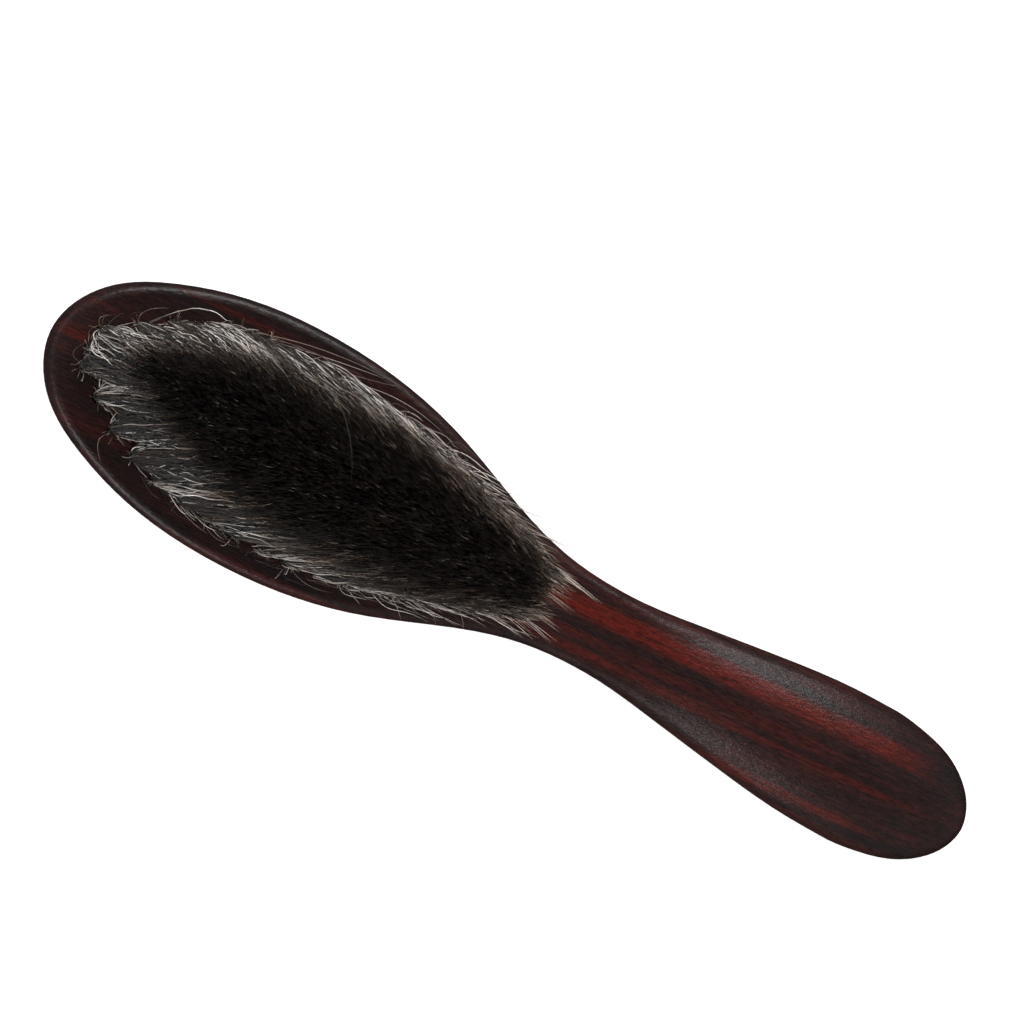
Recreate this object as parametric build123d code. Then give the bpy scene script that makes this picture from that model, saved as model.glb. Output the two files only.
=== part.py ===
from build123d import *
import math
import os

# Neck duster brush. Millimetres. The brush lies on its back with the hair pointing up.
# +X runs from the tip of the oval head to the end of the handle, +Z is up.
# The origin is the middle of the brush's bounding box, on the plane it rests on.

LENGTH = 230.0
ORIGIN_X = LENGTH / 2.0

# Head: a flat slab with an oval outline that runs on into the neck.
HEAD_THICKNESS = 12.0
FACE_EDGE_RADIUS = 2.2
BACK_EDGE_RADIUS = 4.5
NECK_X = 135.0
NECK_HALF_WIDTH = 9.7

# Half outline seen from above: distance from the head's tip, half width.
HEAD_OUTLINE = [
    (6.0, 13.1),
    (18.0, 20.6),
    (34.0, 25.6),
    (51.0, 27.3),
    (70.0, 26.2),
    (87.0, 22.4),
    (105.0, 15.65),
    (120.0, 11.1),
]

# Handle stations: distance from the head's tip, half width, underside height, top height,
# upper corner radius, upper crown, lower corner radius, lower crown.
HANDLE_STATIONS = [
    (NECK_X, NECK_HALF_WIDTH, 0.0, HEAD_THICKNESS, FACE_EDGE_RADIUS, 0.0, BACK_EDGE_RADIUS, 0.0),
    (139.0, 9.75, 0.02, 12.05, 2.5, 0.15, 4.5, 0.05),
    (146.0, 10.2, 0.15, 12.6, 3.3, 0.7, 4.5, 0.3),
    (156.0, 11.5, 0.3, 13.7, 4.0, 1.7, 4.4, 0.9),
    (168.0, 13.2, 0.3, 15.1, 4.6, 2.6, 4.4, 1.5),
    (180.0, 14.8, 0.25, 16.2, 4.9, 3.3, 4.4, 2.0),
    (192.0, 15.95, 0.25, 16.9, 5.0, 3.7, 4.4, 2.2),
    (202.0, 16.2, 0.4, 17.0, 5.0, 3.8, 4.4, 2.2),
    (210.0, 15.6, 0.6, 16.6, 4.8, 3.6, 4.2, 2.1),
    (216.0, 14.35, 1.2, 16.0, 4.5, 3.3, 3.9, 1.9),
    (221.0, 12.4, 2.0, 15.2, 4.1, 2.8, 3.5, 1.6),
    (225.0, 9.7, 3.0, 14.2, 3.6, 2.2, 3.0, 1.3),
    (228.0, 6.4, 4.4, 12.8, 2.8, 1.5, 2.3, 0.9),
    (229.5, 3.3, 6.0, 11.2, 1.6, 0.9, 1.5, 0.6),
    (LENGTH, 0.9, 7.7, 9.5, 0.5, 0.15, 0.5, 0.15),
]

# Tuft rows across the head: distance of the middle of the row from the head's tip, how much further
# along its ends are, tufts in the row, y of the outermost tuft.
TUFT_ROWS = [
    (8.6, 0.6, 3, 4.2),
    (14.8, 0.3, 4, 8.3),
    (21.2, 0.0, 5, 12.6),
    (27.8, 0.0, 6, 15.8),
    (34.4, 0.0, 7, 17.8),
    (41.0, 0.0, 8, 18.9),
    (47.7, 0.0, 7, 19.4),
    (54.3, 0.0, 8, 19.7),
    (61.0, 0.0, 7, 19.5),
    (67.7, 0.0, 8, 18.9),
    (74.3, 0.0, 7, 17.9),
    (81.0, 0.0, 6, 16.4),
    (87.7, 0.0, 6, 14.2),
    (94.3, 0.0, 5, 11.6),
    (101.0, 0.0, 4, 8.4),
]
ROW_PITCH = 6.7

# Holes, hair and anchor staples.
HOLE_RADIUS = 1.5
HOLE_DEPTH = 7.0
HAIR_LENGTH = 80.0
HAIR_ROOT_RADIUS = 1.4
HAIR_FLARE_HEIGHT = 24.0
HAIR_TAPER_HEIGHT = 66.0
TIP_LEAN_X = 3.0
TIP_GATHER_Y = 0.60
HAIR_FILL = 0.42
HAIR_TIP_FILL = 0.16
ANCHOR_WIDTH = 2.6
ANCHOR_HEIGHT = 1.5
ANCHOR_THICKNESS = 0.5
ANCHOR_GAP = 0.2


def along(x):
    """Distance from the head's tip to the part's own X."""
    return x - ORIGIN_X


def corner(half_width, side_z, radius, crown, up):
    """Tangent point, middle and end of the corner arc that joins a crowned face to the side."""
    if crown > 0.0:
        reach = half_width - radius
        rise = radius + crown
        face_radius = (reach**2 + rise**2 - radius**2) / (2.0 * crown)
        angle = math.atan2(face_radius - rise, reach)
    else:
        angle = math.pi / 2.0
    points = []
    for turn in (angle, angle / 2.0, 0.0):
        y = half_width - radius + radius * math.cos(turn)
        points.append((y, side_z + up * radius * math.sin(turn)))
    return points


def handle_section(x, half_width, bottom, top, upper_radius, upper_crown, lower_radius, lower_crown):
    """Closed cross-section of the handle at one station, as four faces and four corner arcs."""
    upper_side = top - upper_radius - upper_crown
    lower_side = bottom + lower_radius + lower_crown
    upper = corner(half_width, upper_side, upper_radius, upper_crown, 1.0)
    lower = corner(half_width, lower_side, lower_radius, lower_crown, -1.0)

    def point(y, z):
        return Vector(along(x), y, z)

    def face(tangent_y, tangent_z, middle_z, crown):
        start = point(-tangent_y, tangent_z)
        end = point(tangent_y, tangent_z)
        if crown > 0.0:
            return Edge.make_three_point_arc(start, point(0.0, middle_z), end)
        return Edge.make_line(start, end)

    edges = [face(*upper[0], top, upper_crown)]
    edges.append(Edge.make_three_point_arc(*[point(y, z) for y, z in upper]))
    edges.append(Edge.make_line(point(*upper[2]), point(*lower[2])))
    edges.append(Edge.make_three_point_arc(*[point(y, z) for y, z in reversed(lower)]))
    edges.append(face(*lower[0], bottom, lower_crown))
    edges.append(Edge.make_three_point_arc(*[point(-y, z) for y, z in lower]))
    edges.append(Edge.make_line(point(-lower[2][0], lower[2][1]), point(-upper[2][0], upper[2][1])))
    edges.append(Edge.make_three_point_arc(*[point(-y, z) for y, z in reversed(upper)]))
    return Wire(edges)


def head_slab():
    """Head and neck: the oval outline extruded, its edges rounded, ending square at the neck."""
    half = [Vector(along(x), y) for x, y in HEAD_OUTLINE]
    half.append(Vector(along(NECK_X), NECK_HALF_WIDTH))
    far_half = [Vector(point.X, -point.Y) for point in half]
    points = half[::-1] + [Vector(along(0.0), 0.0)] + far_half
    oval = Edge.make_spline(points, tangents=[Vector(-1, 0), Vector(1, 0)], scale=False)
    end = Edge.make_line(points[-1], points[0])
    slab = extrude(Face(Wire([oval, end])), HEAD_THICKNESS, dir=(0, 0, 1))

    def rounded(edge):
        return edge.bounding_box().min.X < along(NECK_X) - 1.0

    top_edges = slab.faces().sort_by(Axis.Z)[-1].edges().filter_by(rounded)
    slab = fillet(top_edges, FACE_EDGE_RADIUS)
    back_edges = slab.faces().sort_by(Axis.Z)[0].edges().filter_by(rounded)
    return fillet(back_edges, BACK_EDGE_RADIUS)


def tuft_places(row_x, bow, count, half_span):
    """Places of the tufts in one row, and the spacing between them."""
    pitch = 2.0 * half_span / (count - 1)
    places = []
    for i in range(count):
        y = -half_span + i * pitch
        places.append((row_x + bow * (y / half_span) ** 2, y))
    return places, pitch


def tuft(x, y, pitch):
    """One bundle of hair: round in its hole, flared to fill its share of the block, tapered at the tips."""
    face_z = HEAD_THICKNESS
    levels = [
        (-HOLE_DEPTH + ANCHOR_HEIGHT + ANCHOR_GAP, HAIR_ROOT_RADIUS, HAIR_ROOT_RADIUS),
        (0.0, HAIR_ROOT_RADIUS, HAIR_ROOT_RADIUS),
    ]
    for height, fill in (
        (HAIR_FLARE_HEIGHT, HAIR_FILL),
        (HAIR_TAPER_HEIGHT, HAIR_FILL),
        (HAIR_LENGTH, HAIR_TIP_FILL),
    ):
        gather = 1.0 + (TIP_GATHER_Y - 1.0) * height / HAIR_LENGTH
        levels.append((height, ROW_PITCH * fill, pitch * gather * fill))
    sections = []
    for height, radius_x, radius_y in levels:
        share = max(height, 0.0) / HAIR_LENGTH
        centre_x = x + TIP_LEAN_X * share
        centre_y = y * (1.0 + (TIP_GATHER_Y - 1.0) * share)
        place = Plane(origin=(along(centre_x), centre_y, face_z + height), x_dir=(1, 0, 0), z_dir=(0, 0, 1))
        if radius_x > radius_y:
            sections.append(Wire([Edge.make_ellipse(radius_x, radius_y, place)]))
        else:
            sections.append(Wire([Edge.make_circle(radius_x, place)]))
    return Solid.make_loft(sections, ruled=True)


def anchor(x, y):
    """Flat wire staple standing across the bottom of one hole."""
    floor_z = HEAD_THICKNESS - HOLE_DEPTH
    plate = Box(ANCHOR_WIDTH, ANCHOR_THICKNESS, ANCHOR_HEIGHT, align=(Align.CENTER, Align.CENTER, Align.MIN))
    return Pos(along(x), y, floor_z) * plate


handle = Solid.make_loft([handle_section(*station) for station in HANDLE_STATIONS])
body = head_slab() + handle

drill = Cylinder(HOLE_RADIUS, HOLE_DEPTH + 1.0, align=(Align.CENTER, Align.CENTER, Align.MIN))
holes = []
tuft_rows = []
anchor_rows = []
for row in TUFT_ROWS:
    places, pitch = tuft_places(*row)
    holes += [Pos(along(x), y, HEAD_THICKNESS - HOLE_DEPTH) * drill for x, y in places]
    tuft_rows.append(Compound([tuft(x, y, pitch) for x, y in places]))
    anchor_rows.append(Compound([anchor(x, y) for x, y in places]))
body = body - holes

os.makedirs("parts", exist_ok=True)
export_step(body, "parts/brush_body.step")
for number, (tufts, anchors) in enumerate(zip(tuft_rows, anchor_rows), start=1):
    export_step(tufts, f"parts/tufts_row_{number:02d}.step")
    export_step(anchors, f"parts/anchors_row_{number:02d}.step")
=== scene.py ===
import math
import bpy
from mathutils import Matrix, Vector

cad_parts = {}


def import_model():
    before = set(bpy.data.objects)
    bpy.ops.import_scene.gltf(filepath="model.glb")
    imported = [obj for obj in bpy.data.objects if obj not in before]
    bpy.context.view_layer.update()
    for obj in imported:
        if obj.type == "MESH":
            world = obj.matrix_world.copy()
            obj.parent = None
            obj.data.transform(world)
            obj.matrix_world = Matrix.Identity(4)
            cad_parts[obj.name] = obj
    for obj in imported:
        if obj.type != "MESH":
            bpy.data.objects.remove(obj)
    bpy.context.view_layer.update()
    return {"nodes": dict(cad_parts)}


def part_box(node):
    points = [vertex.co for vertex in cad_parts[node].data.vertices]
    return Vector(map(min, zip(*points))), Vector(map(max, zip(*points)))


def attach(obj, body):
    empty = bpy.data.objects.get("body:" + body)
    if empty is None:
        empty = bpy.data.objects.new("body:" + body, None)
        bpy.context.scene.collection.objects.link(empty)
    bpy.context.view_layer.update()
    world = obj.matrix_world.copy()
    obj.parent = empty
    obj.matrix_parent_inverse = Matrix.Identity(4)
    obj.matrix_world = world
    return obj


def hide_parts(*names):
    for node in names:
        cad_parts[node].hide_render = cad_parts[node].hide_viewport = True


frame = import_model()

from types import SimpleNamespace

import bpy
import numpy as np
from mathutils import Matrix, Vector

# Metres, except where a list is in millimetres. FACE_Z is the height of the head's drilled face.
MM = 0.001
HEAD_TIP_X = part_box("brush_body")[0][0]
FACE_Z = 0.012

# Hair. The roots start ROOT_DEPTH down the holes and fill them to HOLE_FILL_RADIUS.
HAIR_LENGTH = 0.080
HAIR_RADIUS = 0.00011
ROOT_DEPTH = 0.0015
HOLE_FILL_RADIUS = 0.00125

# Each tuft flares to fill its own cell of the field, a little past the cell's edges.
ROW_PITCH = 0.0067
WIDEST_CELL = 0.0061
CELL_FILL = 0.53
SPOT_SCATTER = 0.0004

# Lengths as shares of HAIR_LENGTH: the usual one, how it differs by lock and by strand, and the least.
# SHORT_OUTER of the strands more than OUTER_FROM from an edge tuft's middle are shorter again.
USUAL_LENGTH = 0.962
LOCK_LENGTH_SPREAD = 0.021
STRAND_SHORTER = 0.11
LEAST_LENGTH = 0.70
OUTER_FROM = 0.0008
SHORT_OUTER = 0.30
SHORT_OUTER_LENGTH = (0.30, 0.90)

# Ripples of all strands, and the crimp of those at the edge: least and most depth, and length of a wave.
RIPPLE_DEPTH = (0.00006, 0.00034)
CRIMP_DEPTH = (0.00005, 0.00038)
CRIMP_LENGTH = (0.016, 0.036)
LOCK_SWAY = 0.0006

# Shades run from 0, dark, to 1. LOCK_SHADED of the strands have their lock's shade. The half of an edge
# tuft that faces the core is painted darker, as shade, fully so INNER_REACH from the tuft's middle.
PALE_SHADE = (0.90, 1.0)
PALE_LOCK_SHADE = (0.92, 1.0)
LOCK_SHADED = 0.60
INNER_PAINTED_SHADE = 0.55
INNER_REACH = 0.0016

# Where each part of the field begins and where it is full, as distances from the head's tip.
LIGHT_PART = (0.036, 0.062)
DULL_PART = (0.078, 0.042)
NECK_PART = (0.074, 0.090)
GATHER_PART = (0.072, 0.102)
TOE_PART = (0.034, 0.014)
MIDDLE_STRIP = 0.003

# How near the middle line the tips are against the roots, how far they lean to +X and +Y, and how far the
# hair at the toe is swept to +Y.
TIP_GATHER = 0.61
NECK_TIP_GATHER = 0.50
TIP_LEAN = (0.0030, 0.0014)
TOE_SWEEP = 0.0016

# Height over which a tuft flares, inside the field and on an open side, the share of the spread that it
# keeps on an open side, and how far its strands may stray there.
FLARE_LENGTH = 0.0085
OPEN_FLARE_LENGTH = 0.034
OPEN_REACH = 0.60
OPEN_LIMIT = 0.0011

# Loose hair: strands on the open side of each edge tuft, SHORT_RIM_SHARE of them short, curls and wisps.
RIM_STRANDS_PER_TUFT = 130
SHORT_RIM_SHARE = 0.38
SHORT_RIM_LENGTH = (0.005, 0.018)
LONG_RIM_LENGTH = (0.020, 0.074)
LIGHT_RIM_LONGER = 0.016
DULL_RIM_SHORTER = 0.68
RIM_WAVE_DEPTH = (0.00005, 0.00045)
RIM_WAVE_LENGTH = (0.022, 0.060)
CURLS_PER_TUFT = 4
STRANDS_PER_WISP = 5
STRAY_SHADE = (0.80, 0.96)
CORE_STRAY_SHADE = 0.46

# Seeds of the random draws.
ROW_SEED = 4100
LOOSE_SEED = 5200

# Heights of a strand's rings as shares of its length, close together where the tuft flares, and how thick
# the strand is there.
RINGS = np.array([0.0, 0.035, 0.09, 0.17, 0.30, 0.48, 0.66, 0.82, 0.93, 1.0])
THICKNESS = np.array([1.0, 1.0, 1.0, 1.0, 1.0, 0.98, 0.92, 0.74, 0.46, 0.10])
EDGE_RINGS = np.array([
    0.0, 0.03, 0.07, 0.12, 0.18, 0.24, 0.30, 0.36, 0.42, 0.48, 0.55, 0.62, 0.70, 0.79, 0.89, 1.0,
])
LOOSE_RINGS = np.linspace(0.0, 1.0, 13)
LOOSE_THICKNESS = 1.0 - 0.88 * LOOSE_RINGS**3

# The UV map of the hair, and the number of shades that it has columns for.
HAIR_UV = "OFBake"
SHADES = 128

# Rows of tufts, in millimetres: distance of the middle of the row from the head's tip, how much further
# along its ends are, tufts in the row, y of the outermost tuft.
TUFT_ROWS = [
    (8.6, 0.6, 3, 4.2), (14.8, 0.3, 4, 8.3), (21.2, 0.0, 5, 12.6), (27.8, 0.0, 6, 15.8),
    (34.4, 0.0, 7, 17.8), (41.0, 0.0, 8, 18.9), (47.7, 0.0, 7, 19.4), (54.3, 0.0, 8, 19.7),
    (61.0, 0.0, 7, 19.5), (67.7, 0.0, 8, 18.9), (74.3, 0.0, 7, 17.9), (81.0, 0.0, 6, 16.4),
    (87.7, 0.0, 6, 14.2), (94.3, 0.0, 5, 11.6), (101.0, 0.0, 4, 8.4),
]

# Long hairs that have worked loose and lie along the rim, and last one over the core, in millimetres: where
# each starts, where its middle is and where it ends, as distance from the head's tip, y and height over the
# face.
STRAY_HAIRS = [
    ((34.4, 18.6, 0.3), (52.0, 23.6, 2.2), (71.5, 25.0, 1.6)),
    ((41.0, 19.8, 0.3), (54.0, 22.6, 2.6), (66.0, 24.6, 5.0)),
    ((27.8, 16.8, 0.3), (37.0, 20.0, 1.6), (48.0, 21.4, 3.2)),
    ((54.3, 20.6, 0.3), (64.0, 23.0, 3.6), (70.0, 24.8, 8.0)),
    ((61.0, 20.4, 0.3), (72.0, 22.2, 2.4), (84.0, 20.4, 3.2)),
    ((74.3, 18.7, 0.3), (82.0, 20.2, 2.2), (92.0, 19.2, 3.4)),
    ((14.9, 9.2, 0.3), (14.6, 12.4, 2.0), (18.6, 15.4, 3.6)),
    ((9.0, 4.6, 0.3), (7.0, 6.4, 1.2), (9.4, 8.6, 2.0)),
    ((8.6, 1.0, 0.3), (6.4, 3.0, 1.4), (8.0, 5.4, 2.6)),
    ((21.2, -13.6, 0.3), (19.4, -16.4, 1.3), (22.0, -20.0, 0.6)),
    ((41.0, -19.8, 0.3), (44.0, -21.6, 1.5), (49.6, -22.6, 1.0)),
    ((47.7, -20.3, 0.3), (51.0, -22.4, 1.6), (57.0, -21.8, 2.2)),
    ((67.7, -19.8, 0.3), (73.0, -21.8, 1.5), (79.0, -20.8, 2.5)),
    ((87.7, -14.6, 0.3), (91.0, -15.6, 3.0), (94.0, -18.6, 7.0)),
    ((94.3, -11.8, 0.3), (99.0, -13.4, 3.0), (101.5, -16.6, 8.0)),
    ((101.0, -8.6, 0.3), (105.0, -10.8, 3.0), (107.0, -14.0, 7.0)),
    ((101.0, 8.6, 0.3), (106.0, 10.4, 6.0), (112.0, 10.0, 16.0)),
    ((49.4, 12.8, 79.0), (54.0, 7.6, 79.4), (57.7, 1.4, 78.0)),
]

# Pointed wisps of light hair at the neck end that stand out beyond the rest, in millimetres: y at the root,
# then distance from the head's tip, y and height over the face at the point.
NECK_WISPS = [
    (8.4, 116.9, 5.1, 66.0), (7.6, 112.2, 6.4, 62.0), (8.6, 109.5, 8.6, 50.0), (6.0, 111.0, 4.4, 66.0),
    (4.6, 110.6, 2.4, 70.0), (3.2, 112.4, 0.7, 68.0), (-1.0, 112.4, -4.0, 68.0), (-2.2, 110.2, -3.4, 70.0),
    (-3.5, 112.9, -6.9, 66.0), (-5.6, 110.0, -8.2, 60.0), (-7.6, 108.6, -9.0, 56.0),
]


# ---------- materials ----------

def new_material(name):
    material = bpy.data.materials.new(name)
    material.use_nodes = True
    tree = material.node_tree
    tree.nodes.clear()
    out = tree.nodes.new("ShaderNodeOutputMaterial")
    shader = tree.nodes.new("ShaderNodeBsdfPrincipled")
    tree.links.new(shader.outputs["BSDF"], out.inputs["Surface"])
    return material, tree, shader


def math_node(tree, operation, *values):
    node = tree.nodes.new("ShaderNodeMath")
    node.operation = operation
    for socket, value in zip(node.inputs, values):
        if isinstance(value, (int, float)):
            socket.default_value = value
        else:
            tree.links.new(value, socket)
    return node.outputs[0]


def noise(tree, vector, scale, detail=4.0, roughness=0.55, distortion=0.0):
    """Noise at a different scale on each axis of the vector."""
    mapping = tree.nodes.new("ShaderNodeMapping")
    mapping.inputs["Scale"].default_value = scale
    tree.links.new(vector, mapping.inputs["Vector"])
    node = tree.nodes.new("ShaderNodeTexNoise")
    node.inputs["Scale"].default_value = 1.0
    node.inputs["Detail"].default_value = detail
    node.inputs["Roughness"].default_value = roughness
    node.inputs["Distortion"].default_value = distortion
    tree.links.new(mapping.outputs[0], node.inputs["Vector"])
    return node.outputs["Fac"]


def ramp(tree, factor, stops):
    node = tree.nodes.new("ShaderNodeValToRGB")
    elements = node.color_ramp.elements
    while len(elements) < len(stops):
        elements.new(0.5)
    for element, (position, colour) in zip(elements, stops):
        element.position = position
        element.color = (*colour, 1.0)
    tree.links.new(factor, node.inputs["Fac"])
    return node.outputs["Color"]


def mix_colour(tree, factor, a, b, blend="MIX"):
    node = tree.nodes.new("ShaderNodeMix")
    node.data_type = "RGBA"
    node.blend_type = blend
    pairs = ((node.inputs[0], factor), (node.inputs[6], a), (node.inputs[7], b))
    for socket, value in pairs:
        if isinstance(value, (int, float)):
            socket.default_value = value
        elif isinstance(value, tuple):
            socket.default_value = (*value, 1.0)
        else:
            tree.links.new(value, socket)
    return node.outputs[2]


def map_range(tree, value, from_min, from_max, to_min=0.0, to_max=1.0, smooth=False):
    node = tree.nodes.new("ShaderNodeMapRange")
    if smooth:
        node.interpolation_type = "SMOOTHSTEP"
    node.inputs["From Min"].default_value = from_min
    node.inputs["From Max"].default_value = from_max
    node.inputs["To Min"].default_value = to_min
    node.inputs["To Max"].default_value = to_max
    tree.links.new(value, node.inputs["Value"])
    return node.outputs["Result"]


def scaled(tree, colour, factor):
    node = tree.nodes.new("ShaderNodeVectorMath")
    node.operation = "SCALE"
    tree.links.new(colour, node.inputs[0])
    tree.links.new(factor, node.inputs["Scale"])
    return node.outputs[0]


def band(tree, across, centre, half_width):
    """1 on a grain line, falling smoothly to 0 at half_width to each side."""
    distance = math_node(tree, "ABSOLUTE", math_node(tree, "SUBTRACT", across, centre))
    return map_range(tree, distance, half_width, 0.3 * half_width, smooth=True)


# Red grain lines, in metres: place across the grain, half width, strength, and the x where each fades in
# and out.
GRAIN_LINES = [
    (0.0019, 0.0032, 1.00, -0.020, 0.104),
    (0.0085, 0.0022, 0.35, -0.200, -0.095),
    (-0.0074, 0.0012, 0.50, -0.010, 0.048),
    (-0.0080, 0.0011, 0.40, 0.030, 0.108),
    (-0.0042, 0.0016, 0.28, 0.000, 0.085),
    (-0.0165, 0.0014, 0.65, 0.048, 0.100),
    (-0.0221, 0.0016, 0.30, -0.090, -0.020),
    (0.0265, 0.0013, 0.35, -0.100, -0.060),
]
LINE_FADE = 0.014
LINE_COLOUR = (0.084, 0.0082, 0.0048)
GRAIN_SLOPE = 0.0645
GRAIN_WANDER = 0.0024


def wood_material():
    material, tree, shader = new_material("lacquered_wood")
    coordinates = tree.nodes.new("ShaderNodeTexCoord").outputs["Object"]
    split = tree.nodes.new("ShaderNodeSeparateXYZ")
    tree.links.new(coordinates, split.inputs[0])
    x, y, z = split.outputs
    # The grain runs along the brush, a few degrees off its axis, and wanders a little.
    wander = noise(tree, coordinates, (11.0, 40.0, 40.0), 3.0)
    wander = math_node(tree, "MULTIPLY", math_node(tree, "SUBTRACT", wander, 0.5), GRAIN_WANDER)
    slope = math_node(tree, "MULTIPLY", x, GRAIN_SLOPE)
    across = math_node(tree, "ADD", math_node(tree, "SUBTRACT", y, slope), wander)
    join = tree.nodes.new("ShaderNodeCombineXYZ")
    for socket, value in zip(join.inputs, (x, across, z)):
        tree.links.new(value, socket)
    grain = join.outputs[0]
    broad = noise(tree, grain, (12.0, 170.0, 60.0), 3.0, 0.6)
    streaks = noise(tree, grain, (55.0, 1000.0, 400.0), 4.0, 0.75)
    fibres = noise(tree, grain, (380.0, 2400.0, 1500.0), 4.0, 0.8)

    red = math_node(tree, "MULTIPLY", broad, 0.5)
    red = math_node(tree, "ADD", red, math_node(tree, "MULTIPLY", streaks, 0.5))
    base = ramp(tree, red, [
        (0.40, (0.0098, 0.0060, 0.0060)),
        (0.51, (0.0175, 0.0074, 0.0068)),
        (0.60, (0.0325, 0.0088, 0.0072)),
        (0.70, (0.0560, 0.0108, 0.0078)),
    ])
    lines = None
    for centre, half_width, strength, start, end in GRAIN_LINES:
        line = math_node(tree, "MULTIPLY", band(tree, across, centre, half_width), strength)
        line = math_node(tree, "MULTIPLY", line, map_range(tree, x, start, start + LINE_FADE))
        line = math_node(tree, "MULTIPLY", line, map_range(tree, x, end, end - LINE_FADE))
        lines = line if lines is None else math_node(tree, "MAXIMUM", lines, line)
    # The lines break up along their length and fade on the upright sides, partly so they don't run across
    # them as stripes, partly as painted shade that keeps the sides dark.
    normal = tree.nodes.new("ShaderNodeSeparateXYZ")
    tree.links.new(tree.nodes.new("ShaderNodeNewGeometry").outputs["Normal"], normal.inputs[0])
    facing = math_node(tree, "ABSOLUTE", normal.outputs[2])
    lines = math_node(tree, "MULTIPLY", lines, map_range(tree, streaks, 0.34, 0.56, 0.30, 1.0))
    lines = math_node(tree, "MULTIPLY", lines, map_range(tree, facing, 0.20, 0.70, 0.10, 1.0))
    colour = mix_colour(tree, lines, base, LINE_COLOUR)
    tone = map_range(tree, fibres, 0.32, 0.68, 0.35, 1.70)
    tree.links.new(scaled(tree, colour, tone), shader.inputs["Base Color"])

    smudge = noise(tree, coordinates, (60.0, 60.0, 60.0), 3.0)
    rough = math_node(tree, "ADD", math_node(tree, "MULTIPLY", fibres, 0.20), 0.15)
    rough = math_node(tree, "ADD", rough, math_node(tree, "MULTIPLY", smudge, 0.08))
    rough = math_node(tree, "ADD", rough, map_range(tree, facing, 0.15, 0.75, 0.30, 0.0))
    tree.links.new(rough, shader.inputs["Roughness"])
    pores = noise(tree, grain, (900.0, 1500.0, 1500.0), 2.0, 0.6)
    relief = math_node(tree, "MULTIPLY", pores, 0.65)
    relief = math_node(tree, "ADD", relief, math_node(tree, "MULTIPLY", fibres, 0.35))
    bump = tree.nodes.new("ShaderNodeBump")
    bump.inputs["Strength"].default_value = 0.8
    bump.inputs["Distance"].default_value = 0.00018
    tree.links.new(relief, bump.inputs["Height"])
    tree.links.new(bump.outputs[0], shader.inputs["Normal"])
    shader.inputs["IOR"].default_value = 1.45
    shader.inputs["Specular IOR Level"].default_value = 0.23
    return material


# Colour of the painted sheen on pale strands seen at a grazing angle.
SHEEN_WHITE = (0.92, 0.90, 0.87)


def hair_material():
    """A strand's column in the UV map is its shade, from dark to pale, and v is its height over the face."""
    material, tree, shader = new_material("soft_hair")
    uv = tree.nodes.new("ShaderNodeUVMap")
    uv.uv_map = HAIR_UV
    split = tree.nodes.new("ShaderNodeSeparateXYZ")
    tree.links.new(uv.outputs[0], split.inputs[0])
    column = math_node(tree, "FLOOR", math_node(tree, "MULTIPLY", split.outputs[0], float(SHADES)))
    shade = math_node(tree, "DIVIDE", column, float(SHADES))
    height = split.outputs[1]
    body = ramp(tree, shade, [
        (0.00, (0.0150, 0.0140, 0.0136)),
        (0.12, (0.0275, 0.0254, 0.0246)),
        (0.35, (0.0365, 0.0298, 0.0264)),
        (0.60, (0.062, 0.036, 0.022)),
        (0.76, (0.110, 0.066, 0.038)),
        (0.85, (0.185, 0.104, 0.050)),
        (0.90, (0.330, 0.272, 0.210)),
        (1.00, (0.620, 0.545, 0.455)),
    ])
    # Painted sheen: seen at a grazing angle, as along its length, a pale strand's colour is mixed towards
    # SHEEN_WHITE for the reflection it gives there, less so high up.
    weight = tree.nodes.new("ShaderNodeLayerWeight")
    weight.inputs["Blend"].default_value = 0.5
    grazing = map_range(tree, weight.outputs["Facing"], 0.45, 0.85, 0.0, 1.0, smooth=True)
    painted_sheen = math_node(tree, "MULTIPLY", grazing, map_range(tree, shade, 0.64, 0.92, 0.0, 1.0))
    painted_sheen = math_node(tree, "MULTIPLY", painted_sheen, map_range(tree, height, 0.60, 0.90, 1.0, 0.2))
    body = mix_colour(tree, math_node(tree, "MULTIPLY", painted_sheen, 0.75), body, SHEEN_WHITE)
    painted_shade_by_height = ramp(tree, height, [
        (0.00, (0.45, 0.43, 0.42)),
        (0.08, (0.90, 0.88, 0.86)),
        (0.46, (1.00, 1.00, 1.00)),
        (0.68, (0.86, 0.80, 0.75)),
        (0.84, (0.72, 0.65, 0.59)),
        (1.00, (0.56, 0.50, 0.45)),
    ])
    # Painted shade: strands are darker at the root, where they crowd at the face, and towards the tip, for
    # the depth of the hair; pale ones less than the others.
    evenness = map_range(tree, shade, 0.88, 1.0, 0.0, 0.45)
    painted_shade_by_height = mix_colour(tree, evenness, painted_shade_by_height, (1.0, 1.0, 1.0))
    colour = mix_colour(tree, 1.0, body, painted_shade_by_height, "MULTIPLY")
    mottle = noise(tree, uv.outputs[0], (300.0, 11.0, 1.0), 3.0)
    tone = map_range(tree, mottle, 0.3, 0.7, 0.65, 1.40)
    # Tips seen end on are in the shade of their neighbours.
    shaded = math_node(tree, "MULTIPLY", grazing, map_range(tree, height, 0.66, 0.92, 0.0, 0.45))
    tone = math_node(tree, "MULTIPLY", tone, math_node(tree, "SUBTRACT", 1.0, shaded))
    tree.links.new(scaled(tree, colour, tone), shader.inputs["Base Color"])
    # Dark strands are dull, pale ones glossy, and all are dull near the tip.
    gloss = map_range(tree, shade, 0.30, 0.65, 0.0, 1.0)
    gloss = math_node(tree, "MULTIPLY", gloss, map_range(tree, height, 0.40, 0.75, 1.0, 0.0))
    tree.links.new(map_range(tree, gloss, 0.0, 1.0, 0.80, 0.36), shader.inputs["Roughness"])
    shader.inputs["IOR"].default_value = 1.48
    shader.inputs["Specular IOR Level"].default_value = 0.34
    shader.inputs["Sheen Weight"].default_value = 0.05
    shader.inputs["Sheen Roughness"].default_value = 0.35
    return material


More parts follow.
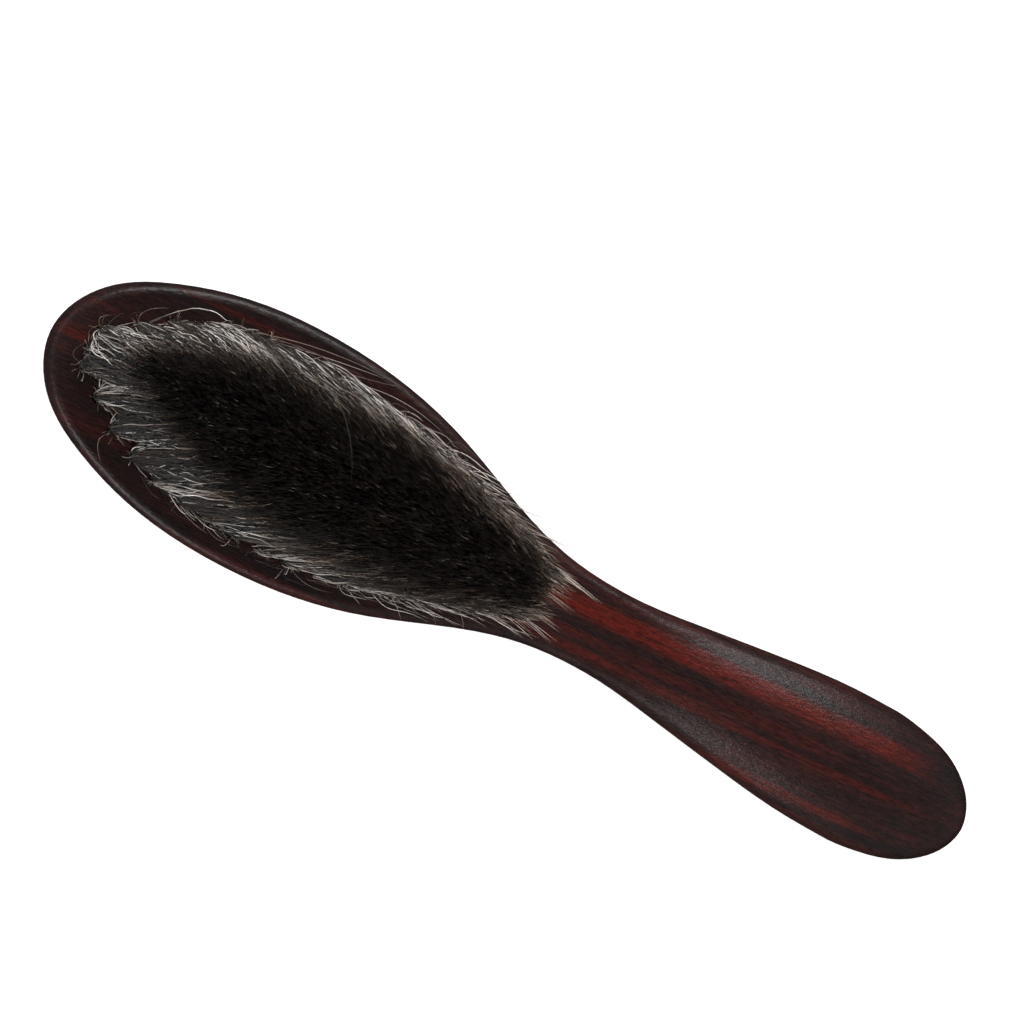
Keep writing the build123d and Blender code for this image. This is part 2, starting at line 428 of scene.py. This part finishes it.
def wire_material():
    material, tree, shader = new_material("anchor_wire")
    coordinates = tree.nodes.new("ShaderNodeTexCoord").outputs["Object"]
    drawn = noise(tree, coordinates, (400.0, 9000.0, 9000.0), 3.0)
    colour = ramp(tree, drawn, [(0.35, (0.42, 0.30, 0.12)), (0.65, (0.62, 0.47, 0.22))])
    tree.links.new(colour, shader.inputs["Base Color"])
    rough = math_node(tree, "ADD", math_node(tree, "MULTIPLY", drawn, 0.25), 0.25)
    tree.links.new(rough, shader.inputs["Roughness"])
    shader.inputs["Metallic"].default_value = 1.0
    return material


def paint(obj, material):
    obj.data.materials.clear()
    obj.data.materials.append(material)


# ---------- hair meshes ----------

# A level direction, off both axes, from which the corners of a strand are turned.
LEVEL_WAY = np.array([0.31, 0.95, 0.0])


def prisms(paths, radius, turn):
    """Vertices of three-sided tapered strands that follow the paths, an array of strand, ring, xyz."""
    tangent = np.gradient(paths, axis=1)
    tangent /= np.linalg.norm(tangent, axis=2, keepdims=True)
    aside = np.cross(tangent, LEVEL_WAY)
    aside /= np.linalg.norm(aside, axis=2, keepdims=True)
    upward = np.cross(tangent, aside)
    corners = []
    for k in range(3):
        angle = turn + k * 2.0 * math.pi / 3.0
        way = aside * np.cos(angle)[:, None, None] + upward * np.sin(angle)[:, None, None]
        corners.append(paths + way * radius[:, :, None])
    return np.stack(corners, axis=2)


def strand_faces(strands, rings):
    """Corner numbers of the sides, as quads, and of the root and tip caps, as triangles."""
    base = (np.arange(strands) * rings * 3)[:, None, None]
    ring = (np.arange(rings - 1) * 3)[None, :, None]
    k = np.arange(3)[None, None, :]
    after = (k + 1) % 3
    corners = [base + ring + k, base + ring + after, base + ring + 3 + after, base + ring + 3 + k]
    quads = np.stack(corners, axis=-1).reshape(-1, 4)
    first = base[:, 0, 0]
    last = first + (rings - 1) * 3
    root_caps = np.stack([first + 2, first + 1, first], axis=1)
    tip_caps = np.stack([last, last + 1, last + 2], axis=1)
    return quads, np.concatenate([root_caps, tip_caps])


def strand_uv(paths, shade):
    """UV of the same faces: a strip in the column of the strand's shade, as high as the strand reaches."""
    strands, rings = paths.shape[:2]
    column = np.floor(np.clip(shade, 0.0, 0.9999) * SHADES)
    left = (column[:, None, None] + 0.2 + 0.2 * np.arange(3)[None, None, :]) / SHADES
    right = left + 0.2 / SHADES
    v = 0.01 + 0.98 * np.clip((paths[:, :, 2] - FACE_Z) / HAIR_LENGTH, 0.0, 1.0)
    low = np.broadcast_to(v[:, :-1, None], (strands, rings - 1, 3))
    high = np.broadcast_to(v[:, 1:, None], (strands, rings - 1, 3))
    left = np.broadcast_to(left, low.shape)
    right = np.broadcast_to(right, low.shape)
    quad_uv = np.stack([left, low, right, low, right, high, left, high], axis=-1).reshape(-1, 2)
    u = ((column + 0.5) / SHADES)[:, None] + np.array([-0.2, 0.0, 0.2])[None, :] / SHADES
    nudge = 0.004 * np.array([0.0, 1.0, 0.0])[None, :]
    cap_uv = [np.stack([u, height[:, None] + nudge], axis=-1) for height in (v[:, 0], v[:, -1])]
    return np.concatenate([quad_uv, np.concatenate(cap_uv).reshape(-1, 2)])


def hair_mesh(name, paths, radius, turn, shade):
    """One object of closed strands."""
    vertices = prisms(paths, radius, turn).reshape(-1, 3)
    quads, caps = strand_faces(*paths.shape[:2])
    loops = np.concatenate([quads.ravel(), caps.ravel()]).astype(np.int32)
    starts = np.concatenate([np.arange(len(quads)) * 4, len(quads) * 4 + np.arange(len(caps)) * 3])
    mesh = bpy.data.meshes.new(name)
    mesh.vertices.add(len(vertices))
    mesh.vertices.foreach_set("co", vertices.astype(np.float32).ravel())
    mesh.loops.add(len(loops))
    mesh.loops.foreach_set("vertex_index", loops)
    mesh.polygons.add(len(starts))
    mesh.polygons.foreach_set("loop_start", starts.astype(np.int32))
    mesh.polygons.foreach_set("use_smooth", np.ones(len(starts), dtype=bool))
    layer = mesh.uv_layers.new(name=HAIR_UV)
    layer.data.foreach_set("uv", strand_uv(paths, shade).astype(np.float32).ravel())
    mesh.update(calc_edges=True)
    mesh.validate()
    piece = bpy.data.objects.new(name, mesh)
    bpy.context.scene.collection.objects.link(piece)
    return piece


# ---------- the field of tufts ----------

def tuft_places(row_x, bow, count, half_span):
    """Places of the tufts in one row in metres, their pitch, and the open sides of each as -x, +x and y."""
    pitch = 2.0 * half_span / (count - 1)
    row = [r[0] for r in TUFT_ROWS].index(row_x)
    before = TUFT_ROWS[row - 1][3] if row > 0 else -1.0
    after = TUFT_ROWS[row + 1][3] if row + 1 < len(TUFT_ROWS) else -1.0
    places = []
    for i in range(count):
        y = -half_span + i * pitch
        x = row_x + bow * (y / half_span) ** 2
        side = (i == count - 1) - (i == 0)
        places.append((HEAD_TIP_X + x * MM, y * MM, (abs(y) > before, abs(y) > after, side)))
    return places, pitch * MM


def outward(open_sides):
    """Unit direction in which a tuft at the edge of the field faces out, or None inside it."""
    low_x, high_x, side = open_sides
    way = np.array([float(high_x) - float(low_x), float(side)])
    size = np.linalg.norm(way)
    return way / size if size > 0.0 else None


def fade(x, start, end):
    """0 on start's side and 1 on end's, both as distances from the head's tip, and even in between."""
    return min(max((x - HEAD_TIP_X - start) / (end - start), 0.0), 1.0)


def part_of_field(x, y):
    """How far a tuft is, from 0 to 1, in each part of the field where the outer hair differs: light, along
    the +Y side, where its shades are painted lighter for the light that falls there; dull, on the toe's -Y
    side, where they are painted darker as shade; neck, next to the neck; low, on the -Y side between these."""
    dull = fade(x, *DULL_PART) if y < MIDDLE_STRIP else 0.0
    neck = fade(x, *NECK_PART)
    return SimpleNamespace(
        light=fade(x, *LIGHT_PART) if y > 0.0 else 0.0,
        dull=dull,
        neck=neck,
        low=(1.0 - dull) * (1.0 - neck) if y < 0.0 else 0.0,
    )


def tip_gather(x):
    """How near the middle line the tips are, as a share of their roots' distance from it."""
    return TIP_GATHER + (NECK_TIP_GATHER - TIP_GATHER) * fade(x, *GATHER_PART)


def toe_sweep(x, y):
    """How far the hair at the toe is swept to +Y from its roots, most on the -Y side."""
    return TOE_SWEEP * fade(x, *TOE_PART) * min(max(0.5 - y / 0.012, 0.6), 1.6)


def rise(share, height):
    """Height of each ring, from a little way down the hole to the strand's height over the face."""
    return FACE_Z - ROOT_DEPTH * (1.0 - share) ** 8 + height


# ---------- strands of a tuft ----------

# How a tuft's strands are set inside the field and at its edge: the rings of each, strands in a square
# millimetre, the locks they draw into and how strongly near the face and near the tips, the share that bends
# away, how far they drift and ripple, how thick they are, and the lightest shade but for the pale ones.
# Inside the field the lightest shade is lower: those strands are painted darker, as shade deep in the hair.
CORE = SimpleNamespace(
    rings=RINGS, strands_per_mm2=8.5, locks=34, low_pull=0.22, high_pull=0.46,
    bent=0.012, drift=0.0007, ripple=1.0, thickness=1.0, lightest=0.62,
)
EDGE = SimpleNamespace(
    rings=EDGE_RINGS, strands_per_mm2=6.5, locks=26, low_pull=0.48, high_pull=0.24,
    bent=0.05, drift=0.0013, ripple=1.6, thickness=0.85, lightest=0.88,
)


def strand_spots(rng, pitch_y, count):
    """Where the strands stand: direction from the tuft's middle, share of the way out, and the spot that
    each has once the tuft has flared to fill its own cell of the field."""
    angle = rng.uniform(0.0, 2.0 * math.pi, count)
    reach = np.sqrt(rng.uniform(0.0, 1.0, count))
    unit = np.stack([np.cos(angle), np.sin(angle)], axis=1)
    squareness = 1.0 / np.maximum(np.abs(unit[:, 0]), np.abs(unit[:, 1])) ** 0.8
    cell = unit * (reach * squareness)[:, None]
    spot = cell * np.array([ROW_PITCH * CELL_FILL, min(pitch_y, WIDEST_CELL) * CELL_FILL])
    spot += rng.normal(0.0, SPOT_SCATTER, (count, 2))
    return unit, reach, spot


def strand_lengths(rng, lock, locks, beyond):
    """Lengths that differ by lock and by strand. Some of the outer strands are much shorter."""
    count = len(lock)
    lock_length = rng.normal(0.0, LOCK_LENGTH_SPREAD, locks)[lock]
    shorter = STRAND_SHORTER * rng.beta(1.1, 4.0, count)
    length = HAIR_LENGTH * (USUAL_LENGTH + lock_length - shorter)
    length = np.clip(length, LEAST_LENGTH * HAIR_LENGTH, HAIR_LENGTH)
    if beyond is not None:
        short = (beyond > OUTER_FROM) & (rng.uniform(0.0, 1.0, count) < SHORT_OUTER)
        length = np.where(short, length * rng.uniform(*SHORT_OUTER_LENGTH, count), length)
    return length


def strand_curves(rng, share, lean, length, lock_sway, style):
    """How far each ring is off its strand's straight line, as x and y."""
    count = len(length)
    heading = rng.uniform(0.0, 2.0 * math.pi, count)
    bend = np.abs(rng.normal(0.0, 0.0011, count))
    bent = rng.uniform(0.0, 1.0, count) < style.bent
    bend = np.where(bent, rng.uniform(0.002, 0.005, count), bend)
    toward = np.stack([np.cos(heading), np.sin(heading)], axis=1)[:, None, :]
    curve = toward * (bend[:, None] * share**2)[:, :, None]
    drift = rng.normal(0.0, style.drift, (count, 2))
    ripple = style.ripple * rng.uniform(*RIPPLE_DEPTH, count)[:, None] * share**0.5
    phase = 2.0 * math.pi * rng.uniform(0.7, 2.2, count)[:, None] * share + heading[:, None]
    curve = curve + np.stack([ripple * np.sin(phase), ripple * np.cos(phase * 0.9)], axis=2)
    curve += (lock_sway + drift)[:, None, :] * lean
    if style is EDGE:
        # The outer strands are crimped, so they cross and dive among each other.
        crimp = rng.uniform(*CRIMP_DEPTH, count)[:, None] * share**0.4
        turns = (length / rng.uniform(*CRIMP_LENGTH, count))[:, None] * share * 2.0 * math.pi
        twist = rng.uniform(0.0, 2.0 * math.pi, (count, 2))
        crimp_x = crimp * np.sin(turns + twist[:, :1])
        crimp_y = crimp * np.sin(0.83 * turns + twist[:, 1:])
        curve += np.stack([crimp_x, crimp_y], axis=2)
    return curve


def tuft_shades(rng, lock, style, part):
    """Whole locks share a shade, and single strands differ. Some of both are pale, most at the edge."""
    count = len(lock)
    skew, pale_locks, pale_strands = 1.0, 0.0, 0.020
    # At the edge, painted light and shade: on the lit +Y side the shades are lighter, with more pale
    # strands, and on the dull side of the toe darker, with fewer pale locks. Next to the neck there are more
    # pale locks and strands.
    if style is EDGE:
        skew = 1.0 - 0.25 * part.light + 1.9 * part.dull
        pale_locks = 0.10 - 0.07 * part.dull + 0.14 * part.neck
        pale_strands = 0.05 + 0.05 * part.light + 0.10 * part.neck
    lock_shade = style.lightest * rng.uniform(0.0, 1.0, style.locks) ** skew
    pale_lock = rng.uniform(0.0, 1.0, style.locks) < pale_locks
    lock_shade = np.where(pale_lock, rng.uniform(*PALE_LOCK_SHADE, style.locks), lock_shade)
    own = style.lightest * rng.uniform(0.0, 1.0, count) ** skew
    shade = np.where(rng.uniform(0.0, 1.0, count) < LOCK_SHADED, lock_shade[lock], own)
    pale = rng.uniform(0.0, 1.0, count) < pale_strands
    return np.where(pale, rng.uniform(*PALE_SHADE, count), shade)


def tuft_paths(rng, x, y, pitch_y, open_sides):
    """Centre lines, radii and shades of one tuft's strands."""
    way = outward(open_sides)
    style = CORE if way is None else EDGE
    part = part_of_field(x, y)
    count = int(round(style.strands_per_mm2 * (ROW_PITCH / MM) * (pitch_y / MM)))
    unit, reach, spot = strand_spots(rng, pitch_y, count)

    # A tuft at the edge of the field spreads little to its open sides, and slowly.
    flare_length = np.full(count, FLARE_LENGTH) * rng.uniform(0.75, 1.3, count)
    beyond = None
    if way is not None:
        out = spot @ way
        # How far each strand is into the half that faces the core, for painted shade, none on the lit side.
        shaded_inner = np.clip(-out / INNER_REACH, 0.0, 1.0) * (1.0 - part.light)
        beyond = np.maximum(out, 0.0)
        spot -= (beyond * (1.0 - OPEN_REACH))[:, None] * way[None, :]
        openness = np.clip(beyond / (0.5 * ROW_PITCH), 0.0, 1.0)
        flare_length += (OPEN_FLARE_LENGTH - FLARE_LENGTH) * openness

    # Strands draw together into locks, more so towards their tips.
    centres = spot[rng.integers(0, count, style.locks)]
    lock = np.argmin(((spot[:, None, :] - centres[None, :, :]) ** 2).sum(axis=2), axis=1)
    lock_sway = rng.normal(0.0, LOCK_SWAY, (style.locks, 2))[lock]
    length = strand_lengths(rng, lock, style.locks, beyond)
    share = style.rings[None, :]
    height = share * length[:, None]
    flare = (1.0 - np.exp(-height / flare_length[:, None]))[:, :, None]
    lean = (height / HAIR_LENGTH)[:, :, None]
    pull = style.low_pull * flare + style.high_pull * lean**3
    target = spot[:, None, :] + (centres[lock] - spot)[:, None, :] * pull

    # The whole tuft gathers towards the middle line and leans to the neck.
    gathered = 1.0 + (tip_gather(x) - 1.0) * lean**1.1
    gather = np.concatenate([np.ones_like(lean), gathered], axis=2)
    root = unit * (reach * HOLE_FILL_RADIUS)[:, None]
    offset = root[:, None, :] * (1.0 - flare) + target * flare * gather
    centre = np.concatenate([x + TIP_LEAN[0] * lean, y * gathered + TIP_LEAN[1] * lean], axis=2)
    curve = strand_curves(rng, share, lean, length, lock_sway, style)
    if way is not None:
        # Few strands stray past the open side.
        past = np.maximum((offset + curve) @ way - OPEN_LIMIT, 0.0)
        curve -= (0.8 * past)[:, :, None] * way
    swept = toe_sweep(x, y) * rng.uniform(0.5, 1.4, count)[:, None]
    centre[:, :, 1] += swept * (1.0 - np.exp(-height / 0.008))
    paths = np.empty((count, len(style.rings), 3))
    paths[:, :, :2] = offset + centre + curve
    paths[:, :, 2] = rise(share, height)

    thickness = np.interp(style.rings, RINGS, THICKNESS)[None, :]
    radius = HAIR_RADIUS * rng.uniform(0.7, 1.3, count)[:, None] * thickness * style.thickness
    shade = tuft_shades(rng, lock, style, part)
    # Painted shade: the half of an edge tuft that faces the core is darker, less so on the lit side.
    if way is not None:
        shade *= 1.0 - INNER_PAINTED_SHADE * shaded_inner
    return paths, radius, shade


# ---------- loose hair ----------

def rim_paths(rng, x, y, way):
    """Loose wavy strands on the open side of a tuft at the edge of the field."""
    count = RIM_STRANDS_PER_TUFT
    part = part_of_field(x, y)
    short = rng.uniform(0.0, 1.0, count) < SHORT_RIM_SHARE
    short_length = rng.uniform(*SHORT_RIM_LENGTH, count)
    least, most = LONG_RIM_LENGTH
    long_length = rng.uniform(least + LIGHT_RIM_LONGER * part.light, most, count)
    length = np.where(short, short_length, long_length) * (1.0 - DULL_RIM_SHORTER * part.dull)
    share = LOOSE_RINGS[None, :]
    height = share * length[:, None]
    lean = height / HAIR_LENGTH

    # Outward and sideways from the tuft's middle. The strands splay at the neck.
    out = HOLE_FILL_RADIUS * rng.uniform(-0.9, 0.5, count)[:, None]
    out = out + rng.normal(-0.0005, 0.0008, count)[:, None] * (1.0 - np.exp(-height / 0.006))
    splay = rng.normal(-0.0004 + 0.0028 * part.neck, 0.0012 + 0.0006 * part.neck, count)
    out = out + splay[:, None] * lean
    out = out - 0.0010 * part.light * (1.0 - part.neck)
    out = out + 0.0008 * part.low
    # Short ones stand out past the rest, point first.
    out = out + np.where(short, rng.uniform(0.0, 0.0019, count), 0.0)[:, None] * share**1.3
    aside = HOLE_FILL_RADIUS * rng.uniform(-0.9, 0.9, count)[:, None]
    settle = rng.uniform(0.005, 0.022, count)[:, None]
    spread = np.where(short, 0.0020, 0.0036) * rng.normal(0.0, 1.0, count)
    aside = aside + spread[:, None] * (1.0 - np.exp(-height / settle))
    wave = rng.uniform(*RIM_WAVE_DEPTH, count)[:, None] * share**0.7
    turns = (length / rng.uniform(*RIM_WAVE_LENGTH, count))[:, None] + 0.1
    phase = rng.uniform(0.0, 2.0 * math.pi, count)[:, None] + 2.0 * math.pi * turns * share
    out = out + wave * np.sin(phase)
    aside = aside + wave * np.cos(phase)

    gathered = y * (tip_gather(x) - 1.0) * lean**1.1
    swept = toe_sweep(x, y) * rng.uniform(0.4, 1.4, count)[:, None]
    gathered = gathered + swept * (1.0 - np.exp(-height / settle))
    paths = np.empty((count, len(LOOSE_RINGS), 3))
    paths[:, :, 0] = x + TIP_LEAN[0] * lean + out * way[0] - aside * way[1]
    paths[:, :, 1] = y + gathered + TIP_LEAN[1] * lean + out * way[1] + aside * way[0]
    paths[:, :, 2] = rise(share, height)
    # More pale strands on the +Y side, painted light for the light that falls there; more also next to the
    # neck and on the low side.
    pale_share = 0.32 + 0.14 * float(y > MIDDLE_STRIP) + 0.18 * part.neck + 0.12 * part.low
    pale = rng.uniform(0.0, 1.0, count) < pale_share
    shade = np.where(pale, rng.uniform(*PALE_SHADE, count), rng.uniform(0.1, 0.85, count))
    return paths, rng.uniform(0.7, 1.35, count), shade


def curl_paths(rng, x, y, way):
    """Short curled hairs that turn out over the face beside a tuft at the edge of the field."""
    count = CURLS_PER_TUFT
    heading = math.atan2(way[1], way[0]) + rng.normal(0.0, 0.9, count)
    size = rng.uniform(0.0005, 0.0013, count)[:, None]
    sweep = rng.uniform(1.6, 4.2, count)[:, None]
    share = LOOSE_RINGS[None, :]
    turn = sweep * share
    out = HOLE_FILL_RADIUS * 0.7 + size * (1.0 - np.cos(turn))
    lift = size * np.sin(turn) + 0.0012 * share
    aside = size * rng.normal(0.0, 0.8, count)[:, None] * share**1.5
    paths = np.empty((count, len(LOOSE_RINGS), 3))
    paths[:, :, 0] = x + out * np.cos(heading)[:, None] - aside * np.sin(heading)[:, None]
    paths[:, :, 1] = y + out * np.sin(heading)[:, None] + aside * np.cos(heading)[:, None]
    paths[:, :, 2] = FACE_Z + np.maximum(lift, 0.0001)
    return paths, rng.uniform(0.7, 1.1, count), rng.uniform(0.72, 1.0, count)


def arc(points):
    """A smooth path through a start, a middle and an end, given in millimetres from the head's tip."""
    start, middle, end = np.array(points) * MM
    bend = 2.0 * middle - 0.5 * (start + end)
    share = LOOSE_RINGS[:, None]
    path = start * (1.0 - share) ** 2 + 2.0 * bend * share * (1.0 - share) + end * share**2
    return path + np.array([HEAD_TIP_X, 0.0, FACE_Z])


def wisp_paths(rng):
    """Light hairs at the neck end, each wisp's strands drawn to one point. Millimetres, as in the list."""
    root_x = TUFT_ROWS[-1][0]
    paths = []
    for root_y, x, y, height in NECK_WISPS:
        for _ in range(STRANDS_PER_WISP):
            start = np.array([root_x, root_y, 0.0]) + np.array([*rng.normal(0.0, 0.5, 2), 0.0])
            end = np.array([x, y, height]) + rng.normal(0.0, 0.40, 3)
            end = end + np.array([0.0, 0.0, rng.uniform(-10.0, 0.0)])
            middle = start + (end - start) * np.array([0.55, 0.40, 0.52]) + rng.normal(0.0, 0.45, 3)
            paths.append(arc((start, middle, end)))
    count = len(paths)
    return np.array(paths), rng.uniform(0.6, 1.1, count), rng.uniform(0.84, 1.0, count)


def stray_paths(rng):
    """Long hairs that have worked loose. All are light but the last, which lies over the core."""
    paths = np.array([arc(points) for points in STRAY_HAIRS])
    shade = rng.uniform(*STRAY_SHADE, len(paths))
    shade[-1] = CORE_STRAY_SHADE
    return paths, rng.uniform(0.7, 1.0, len(paths)), shade


# ---------- pieces ----------

def hair_piece(name, paths, radii, shades, rng, *nodes):
    turn = rng.uniform(0.0, 2.0 * math.pi, len(paths))
    piece = hair_mesh(name, paths, radii, turn, shades)
    paint(piece, hair)
    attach(piece, "root")
    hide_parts(*nodes)


def hair_row(number, row):
    """The hair of one row, its tufts inside the field and those at the edge as separate pieces."""
    rng = np.random.default_rng(ROW_SEED + number)
    places, pitch = tuft_places(*row)
    node = f"tufts_row_{number:02d}"
    for name, at_edge in (("row", False), ("edge", True)):
        chosen = [place for place in places if (outward(place[2]) is not None) == at_edge]
        if not chosen:
            continue
        tufts = [tuft_paths(rng, x, y, pitch, open_sides) for x, y, open_sides in chosen]
        paths, radii, shades = (np.concatenate(part) for part in zip(*tufts))
        hair_piece(f"hair_{name}_{number:02d}", paths, radii, shades, rng, node)


def loose_hair():
    """Wavy strands and curls round the edge of the field, strays along the rim and wisps at the neck."""
    rng = np.random.default_rng(LOOSE_SEED)
    groups = []
    for row in TUFT_ROWS:
        for x, y, open_sides in tuft_places(*row)[0]:
            way = outward(open_sides)
            if way is not None:
                groups.append(rim_paths(rng, x, y, way))
                groups.append(curl_paths(rng, x, y, way))
    groups.append(stray_paths(rng))
    groups.append(wisp_paths(rng))
    paths, sizes, shades = (np.concatenate(part) for part in zip(*groups))
    radii = HAIR_RADIUS * sizes[:, None] * LOOSE_THICKNESS[None, :]
    nodes = [f"tufts_row_{number:02d}" for number in range(1, len(TUFT_ROWS) + 1)]
    left = paths[:, 0, 1] < 0.0
    for name, side in (("hair_loose_left", left), ("hair_loose_right", ~left)):
        hair_piece(name, paths[side], radii[side], shades[side], rng, *nodes)


wood = wood_material()
hair = hair_material()
wire = wire_material()

paint(frame["nodes"]["brush_body"], wood)
for number, row in enumerate(TUFT_ROWS, start=1):
    paint(frame["nodes"][f"anchors_row_{number:02d}"], wire)
    hair_row(number, row)
loose_hair()


# ---------- stage, light and camera ----------

FLOOR_HALF_SIZE = 3.0
FLOOR_GAP = 0.0002

# Softboxes, all aimed at the origin: name, place, width and height in metres, watts.
SOFTBOXES = [
    ("softbox_far", (-0.20, 0.95, 0.66), 0.90, 0.12, 12.5),
    ("softbox_near", (-0.24, -0.95, 0.66), 0.75, 0.12, 7.6),
    ("softbox_toe", (-1.00, 0.10, 0.55), 0.50, 0.30, 1.0),
]

CAMERA_EYE = Vector((-0.216, 0.0, 0.981))
CAMERA_AIM = Vector((-0.0096, 0.0131, 0.012))
CAMERA_ROLL = math.radians(28.99)
CAMERA_LENS = 161.3
CAMERA_SENSOR = 36.0


def floor():
    half = FLOOR_HALF_SIZE
    corners = [(-half, -half, 0.0), (half, -half, 0.0), (half, half, 0.0), (-half, half, 0.0)]
    mesh = bpy.data.meshes.new("floor")
    mesh.from_pydata(corners, [], [(0, 1, 2, 3)])
    obj = bpy.data.objects.new("floor", mesh)
    bpy.context.scene.collection.objects.link(obj)
    obj.location.z = -FLOOR_GAP
    material, tree, shader = new_material("floor")
    shader.inputs["Base Color"].default_value = (0.92, 0.92, 0.92, 1.0)
    shader.inputs["Roughness"].default_value = 0.7
    shader.inputs["Specular IOR Level"].default_value = 0.2
    shader.inputs["Emission Color"].default_value = (1.0, 1.0, 1.0, 1.0)
    shader.inputs["Emission Strength"].default_value = 0.55
    paint(obj, material)
    # Reflections leave the floor out, so the upright sides of the wood stay dark.
    obj.visible_glossy = False


def softbox(name, location, width, height, power):
    light = bpy.data.lights.new(name, "AREA")
    light.shape = "RECTANGLE"
    light.size = width
    light.size_y = height
    light.energy = power
    obj = bpy.data.objects.new(name, light)
    obj.location = location
    obj.rotation_euler = (-Vector(location)).to_track_quat("-Z", "Y").to_euler()
    bpy.context.scene.collection.objects.link(obj)


def camera():
    back = (CAMERA_EYE - CAMERA_AIM).normalized()
    side = Vector((0.0, 1.0, 0.0)).cross(back).normalized()
    up = back.cross(side)
    right = side * math.cos(CAMERA_ROLL) + up * math.sin(CAMERA_ROLL)
    top = up * math.cos(CAMERA_ROLL) - side * math.sin(CAMERA_ROLL)
    data = bpy.data.cameras.new("camera")
    data.lens = CAMERA_LENS
    data.sensor_width = CAMERA_SENSOR
    obj = bpy.data.objects.new("camera", data)
    turn = Matrix((right, top, back)).transposed().to_4x4()
    obj.matrix_world = Matrix.Translation(CAMERA_EYE) @ turn
    bpy.context.scene.collection.objects.link(obj)
    bpy.context.scene.camera = obj


def world():
    """Pale above the horizon, dim overhead and dark below, like a studio with lit walls."""
    sky = bpy.data.worlds.new("studio")
    sky.use_nodes = True
    tree = sky.node_tree
    tree.nodes.clear()
    out = tree.nodes.new("ShaderNodeOutputWorld")
    background = tree.nodes.new("ShaderNodeBackground")
    coordinates = tree.nodes.new("ShaderNodeTexCoord")
    split = tree.nodes.new("ShaderNodeSeparateXYZ")
    tree.links.new(coordinates.outputs["Generated"], split.inputs[0])
    height = map_range(tree, split.outputs[2], -1.0, 1.0)
    shade = ramp(tree, height, [
        (0.40, (0.02, 0.02, 0.02)), (0.48, (0.32, 0.32, 0.32)), (0.67, (0.50, 0.50, 0.50)),
        (0.90, (0.45, 0.45, 0.45)), (1.0, (0.15, 0.15, 0.15)),
    ])
    tree.links.new(shade, background.inputs["Color"])
    tree.links.new(background.outputs[0], out.inputs["Surface"])
    bpy.context.scene.world = sky


floor()
world()
for box in SOFTBOXES:
    softbox(*box)
camera()
bpy.context.scene.view_settings.view_transform = "Standard"
